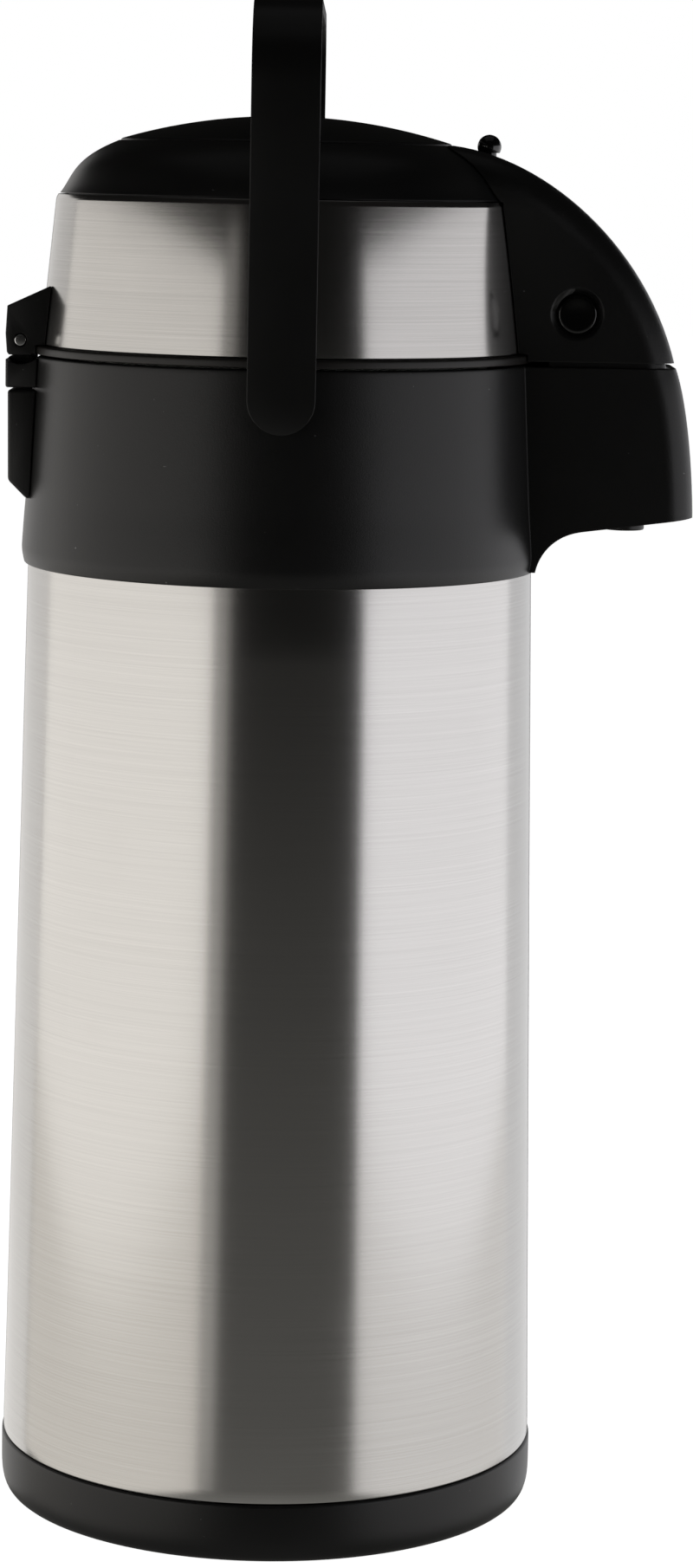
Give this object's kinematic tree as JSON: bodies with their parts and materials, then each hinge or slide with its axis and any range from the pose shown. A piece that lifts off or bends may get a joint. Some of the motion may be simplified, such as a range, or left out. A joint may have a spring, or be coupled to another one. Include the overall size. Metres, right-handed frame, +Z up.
{
  "type": "thermal coffee airpot",
  "caption": "Pump-action vacuum flask with a brushed steel body, black plastic collar and hinged lid, press-down top, beak-shaped spout and a swinging strap handle.",
  "frame": {"origin": "centre of the foot pad's underside, on the body's axis, at the surface the pot stands on", "axes": "+X towards the pouring beak, +Z up along the body's axis, Y along the handle's pivot line"},
  "size_m": [0.2077, 0.166, 0.4585],
  "materials": {
    "body_steel": "brushed around the body",
    "band_steel": "brushed around the band",
    "flask_steel": "electropolished",
    "base_plastic": "satin",
    "black_plastic": "fine texture",
    "plate_plastic": "satin",
    "strap_plastic": "satin",
    "button_plastic": "gloss",
    "spout_plastic": "smooth",
    "inner_plastic": "smooth",
    "bellows_plastic": "soft",
    "bush_plastic": "smooth",
    "rubber": "dull",
    "pin_steel": "polished",
    "screw_steel": "plain"
  },
  "bodies": {
    "pot": {"foot_pad": "rubber", "base_cup": "base_plastic", "base_screw_1": "screw_steel", "base_screw_2": "screw_steel", "base_screw_3": "screw_steel", "outer_shell": "body_steel", "shell_bottom_cap": "flask_steel", "inner_flask": "flask_steel", "mouth_gasket": "rubber", "collar": "black_plastic", "hinge_block": "black_plastic", "hinge_cover": "black_plastic", "stopper": "inner_plastic", "dip_tube": "inner_plastic", "outlet_pipe": "inner_plastic", "spout_nozzle": "spout_plastic"},
    "lid": {"lid_body": "black_plastic", "lid_band": "band_steel", "lid_shoulder": "black_plastic", "beak_cover": "black_plastic", "hinge_lug": "black_plastic", "hinge_pin": "pin_steel", "pump_base": "inner_plastic", "air_seal": "rubber", "bellows": "bellows_plastic", "pump_spring": "screw_steel", "lid_screw_1": "screw_steel", "lid_screw_2": "screw_steel", "lid_screw_3": "screw_steel", "lid_screw_4": "screw_steel"},
    "plunger": {"push_plate": "plate_plastic", "pump_piston": "inner_plastic", "intake_valve": "rubber"},
    "lock": {"lock_knob": "button_plastic"},
    "button_right": {"release_button_right": "button_plastic"},
    "button_left": {"release_button_left": "button_plastic"},
    "handle_carrier": {"handle_bush_right": "bush_plastic", "handle_bush_left": "bush_plastic"},
    "handle": {"handle_strap": "strap_plastic"}
  },
  "joints": [
    {"name": "lid_hinge", "type": "hinge", "parent": "pot", "child": "lid", "pos_m": [-0.0783, 0, 0.3582], "axis": [0, -1, 0], "range_deg": [0, 48]},
    {"name": "handle_fold", "type": "hinge", "parent": "pot", "child": "handle_carrier", "pos_m": [0.001, 0, 0.345], "axis": [0, -1, 0], "range_deg": [0, 125]},
    {"name": "handle_swing", "type": "hinge", "parent": "handle_carrier", "child": "handle", "pos_m": [0.001, 0, 0.345], "axis": [0, 1, 0], "range_deg": [-125, 50]},
    {"name": "pump_press", "type": "slide", "parent": "lid", "child": "plunger", "axis": [0, 0, -1], "range_m": [0, 0.024], "stiffness_N_per_m": 300, "springref_m": -0.02, "deforming": ["bellows", "pump_spring"]},
    {"name": "lock_turn", "type": "hinge", "parent": "lid", "child": "lock", "pos_m": [0, 0, 0.418], "axis": [0, 0, 1], "range_deg": [0, 10]},
    {"name": "release_right", "type": "slide", "parent": "lid", "child": "button_right", "axis": [0, 1, 0], "range_m": [0, 0.003], "stiffness_N_per_m": 800, "springref_m": -0.001},
    {"name": "release_left", "type": "slide", "parent": "lid", "child": "button_left", "axis": [0, -1, 0], "range_m": [0, 0.003], "stiffness_N_per_m": 800, "springref_m": -0.001}
  ],
  "couplings": [
    {"joint": "handle_fold", "follows": "lid_hinge", "ratio": 2.6}
  ]
}
